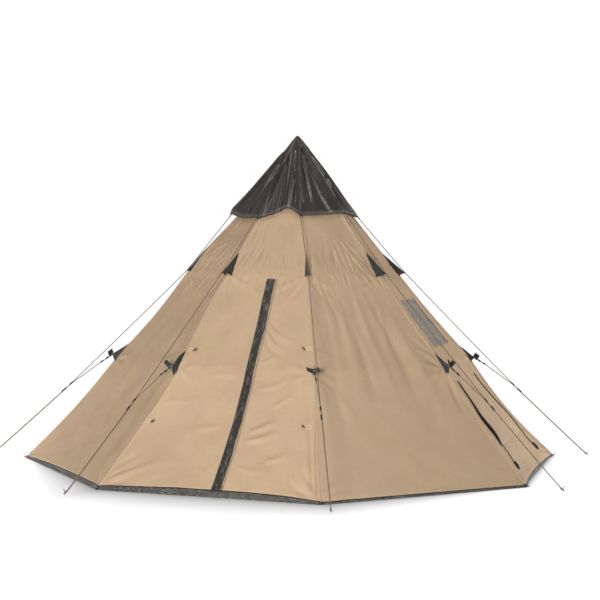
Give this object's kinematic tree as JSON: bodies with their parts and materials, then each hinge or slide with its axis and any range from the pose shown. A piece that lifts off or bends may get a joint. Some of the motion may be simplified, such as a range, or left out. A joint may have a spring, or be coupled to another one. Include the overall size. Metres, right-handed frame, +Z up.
{
  "type": "tipi tent",
  "caption": "Eight-sided tipi tent with a dark rain cap, a centre pole, a zipped two-leaf door under a storm flap, mesh windows, vent flaps and forked guy lines.",
  "frame": {"origin": "on the ground under the centre pole", "axes": "+Z up the centre pole, -Y out of the door, +X to the right of someone who faces the door from outside"},
  "size_m": [6.1006, 6.1006, 3.487],
  "materials": {
    "tan_polyester": "matte",
    "charcoal_polyester": "satin",
    "grey_floor_sheet": "satin",
    "black_webbing": "matte",
    "grey_netting": "matte",
    "zip_coil": "satin",
    "grey_cord": "matte",
    "black_plastic": "satin",
    "steel": "satin"
  },
  "bodies": {
    "tent": {"floor_sheet": "grey_floor_sheet", "floor_rim": "grey_floor_sheet", "wall_front_right": "tan_polyester", "wall_back_right": "tan_polyester", "wall_back": "tan_polyester", "wall_back_left": "tan_polyester", "wall_front_left": "tan_polyester", "wall_right": "tan_polyester", "wall_left": "tan_polyester", "door_wall": "tan_polyester", "rain_cap": "charcoal_polyester", "peak_pocket": "black_webbing", "pole_foot": "black_plastic", "pole_lower": "steel", "pole_middle": "steel", "pole_upper": "steel", "pole_top": "black_plastic", "window_net_right": "grey_netting", "window_net_left": "grey_netting", "vent_net_right": "grey_netting", "vent_net_left": "grey_netting", "corner_strap_front_right": "black_webbing", "corner_strap_right_front": "black_webbing", "corner_strap_right_back": "black_webbing", "corner_strap_back_right": "black_webbing", "corner_strap_back_left": "black_webbing", "corner_strap_left_back": "black_webbing", "corner_strap_left_front": "black_webbing", "corner_strap_front_left": "black_webbing", "guy_line_front_right": "grey_cord", "guy_line_right_front": "grey_cord", "guy_line_right_back": "grey_cord", "guy_line_back_right": "grey_cord", "guy_line_back_left": "grey_cord", "guy_line_left_back": "grey_cord", "guy_line_left_front": "grey_cord", "guy_line_front_left": "grey_cord", "guy_peg_front_right": "steel", "guy_peg_right_front": "steel", "guy_peg_right_back": "steel", "guy_peg_back_right": "steel", "guy_peg_back_left": "steel", "guy_peg_left_back": "steel", "guy_peg_left_front": "steel", "guy_peg_front_left": "steel"},
    "door_left": {"door_leaf_left": "tan_polyester", "door_zip": "zip_coil"},
    "door_right": {"door_leaf_right": "tan_polyester"},
    "storm_flap": {"storm_flap": "charcoal_polyester"},
    "zip_slider": {"zip_slider": "black_plastic"},
    "vent_right": {"vent_flap_right": "tan_polyester"},
    "vent_left": {"vent_flap_left": "tan_polyester"},
    "tensioner_front_right": {"tensioner_front_right": "black_plastic"},
    "tensioner_right_front": {"tensioner_right_front": "black_plastic"},
    "tensioner_right_back": {"tensioner_right_back": "black_plastic"},
    "tensioner_back_right": {"tensioner_back_right": "black_plastic"},
    "tensioner_back_left": {"tensioner_back_left": "black_plastic"},
    "tensioner_left_back": {"tensioner_left_back": "black_plastic"},
    "tensioner_left_front": {"tensioner_left_front": "black_plastic"},
    "tensioner_front_left": {"tensioner_front_left": "black_plastic"}
  },
  "joints": [
    {"name": "door_left_fold", "type": "hinge", "parent": "tent", "child": "door_left", "pos_m": [0.001, -1.06903, 1.96017], "axis": [-0.3732, -0.5871, -0.7183], "range_deg": [0, 100]},
    {"name": "door_right_fold", "type": "hinge", "parent": "tent", "child": "door_right", "pos_m": [0.129, -1.06903, 1.96017], "axis": [-0.3297, 0.5975, 0.731], "range_deg": [0, 100]},
    {"name": "storm_flap_fold", "type": "hinge", "parent": "door_left", "child": "storm_flap", "pos_m": [0.013, -1.07176, 1.96046], "axis": [0, -0.6329, -0.7743], "range_deg": [0, 75]},
    {"name": "zip_slide", "type": "slide", "parent": "door_left", "child": "zip_slider", "axis": [0, 0.6329, 0.7743], "range_m": [0, 2.4]},
    {"name": "vent_flap_right_fold", "type": "hinge", "parent": "tent", "child": "vent_right", "pos_m": [1.892, 0, 0.95809], "axis": [0, -1, 0], "range_deg": [0, 85]},
    {"name": "vent_flap_left_fold", "type": "hinge", "parent": "tent", "child": "vent_left", "pos_m": [-1.892, 0, 0.95809], "axis": [0, 1, 0], "range_deg": [0, 85]},
    {"name": "tensioner_front_right_slide", "type": "slide", "parent": "tent", "child": "tensioner_front_right", "axis": [0.2823, -0.6816, -0.675], "range_m": [-0.05, 0.6]},
    {"name": "tensioner_right_front_slide", "type": "slide", "parent": "tent", "child": "tensioner_right_front", "axis": [0.6816, -0.2823, -0.675], "range_m": [-0.05, 0.6]},
    {"name": "tensioner_right_back_slide", "type": "slide", "parent": "tent", "child": "tensioner_right_back", "axis": [0.6816, 0.2823, -0.675], "range_m": [-0.05, 0.6]},
    {"name": "tensioner_back_right_slide", "type": "slide", "parent": "tent", "child": "tensioner_back_right", "axis": [0.2823, 0.6816, -0.675], "range_m": [-0.05, 0.6]},
    {"name": "tensioner_back_left_slide", "type": "slide", "parent": "tent", "child": "tensioner_back_left", "axis": [-0.2823, 0.6816, -0.675], "range_m": [-0.05, 0.6]},
    {"name": "tensioner_left_back_slide", "type": "slide", "parent": "tent", "child": "tensioner_left_back", "axis": [-0.6816, 0.2823, -0.675], "range_m": [-0.05, 0.6]},
    {"name": "tensioner_left_front_slide", "type": "slide", "parent": "tent", "child": "tensioner_left_front", "axis": [-0.6816, -0.2823, -0.675], "range_m": [-0.05, 0.6]},
    {"name": "tensioner_front_left_slide", "type": "slide", "parent": "tent", "child": "tensioner_front_left", "axis": [-0.2823, -0.6816, -0.675], "range_m": [-0.05, 0.6]}
  ]
}
